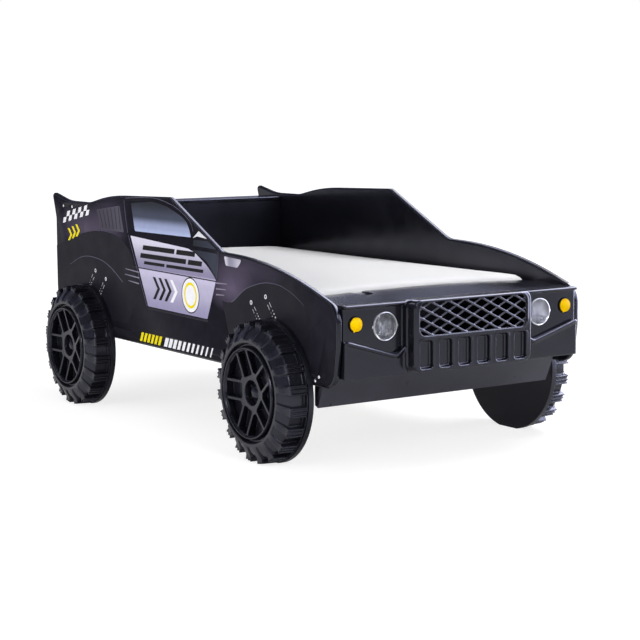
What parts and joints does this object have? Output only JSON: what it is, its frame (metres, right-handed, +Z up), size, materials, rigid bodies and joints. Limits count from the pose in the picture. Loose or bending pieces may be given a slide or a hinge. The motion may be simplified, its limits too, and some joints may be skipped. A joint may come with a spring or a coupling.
{
  "type": "child's car bed",
  "caption": "Child's single bed in the shape of an off-road car: profile-cut side panels, fixed wheels, moulded bumper with lamps and mesh grille, slatted base and mattress.",
  "frame": {"origin": "on the floor under the middle of the bed's box", "axes": "+X towards the car's front, +Y to the car's left, +Z up"},
  "size_m": [2.0094, 1.152, 0.7988],
  "materials": {
    "panel_lacquer": "satin print and lacquer on board",
    "board_lacquer": "satin lacquer on board",
    "base_wood": "planed, bare",
    "mattress_cloth": "smooth knitted cover",
    "bumper_plastic": "gloss",
    "mesh_metal": "gloss",
    "clear_lens": "clear, prismatic inside",
    "reflector": "bright",
    "amber_lens": "gloss",
    "tyre_plastic": "semi-gloss moulded",
    "rim_plastic": "semi-gloss moulded",
    "steel": "zinc plated"
  },
  "bodies": {
    "bedstead": {"bumper_shell": "bumper_plastic", "corner_brackets": "steel", "foot_board": "board_lacquer", "grille_mesh": "mesh_metal", "headlight_lens_left": "clear_lens", "headlight_lens_right": "clear_lens", "headlight_reflector_left": "reflector", "headlight_reflector_right": "reflector", "indicator_lens_left": "amber_lens", "indicator_lens_right": "amber_lens", "left_ledge": "base_wood", "left_side_panel": "panel_lacquer", "rear_panel": "board_lacquer", "rear_shelf": "board_lacquer", "right_ledge": "base_wood", "right_side_panel": "panel_lacquer", "rim_front_left": "rim_plastic", "rim_front_right": "rim_plastic", "rim_rear_left": "rim_plastic", "rim_rear_right": "rim_plastic", "shelf_screws": "steel", "skid_board": "board_lacquer", "skid_cleat_left": "board_lacquer", "skid_cleat_right": "board_lacquer", "skid_screws": "steel", "slat_01": "base_wood", "slat_02": "base_wood", "slat_03": "base_wood", "slat_04": "base_wood", "slat_05": "base_wood", "slat_06": "base_wood", "slat_07": "base_wood", "slat_08": "base_wood", "slat_09": "base_wood", "slat_10": "base_wood", "slat_11": "base_wood", "slat_12": "base_wood", "slat_13": "base_wood", "slat_screws": "steel", "tyre_front_left": "tyre_plastic", "tyre_front_right": "tyre_plastic", "tyre_rear_left": "tyre_plastic", "tyre_rear_right": "tyre_plastic", "wheel_bolts": "steel", "wheel_disc_front_left": "board_lacquer", "wheel_disc_front_right": "board_lacquer", "wheel_disc_rear_left": "board_lacquer", "wheel_disc_rear_right": "board_lacquer"},
    "mattress": {"mattress": "mattress_cloth"}
  },
  "joints": [
    {"name": "mattress_lift", "type": "slide", "parent": "bedstead", "child": "mattress", "axis": [0, 0, 1], "range_m": [0, 0.4]}
  ]
}
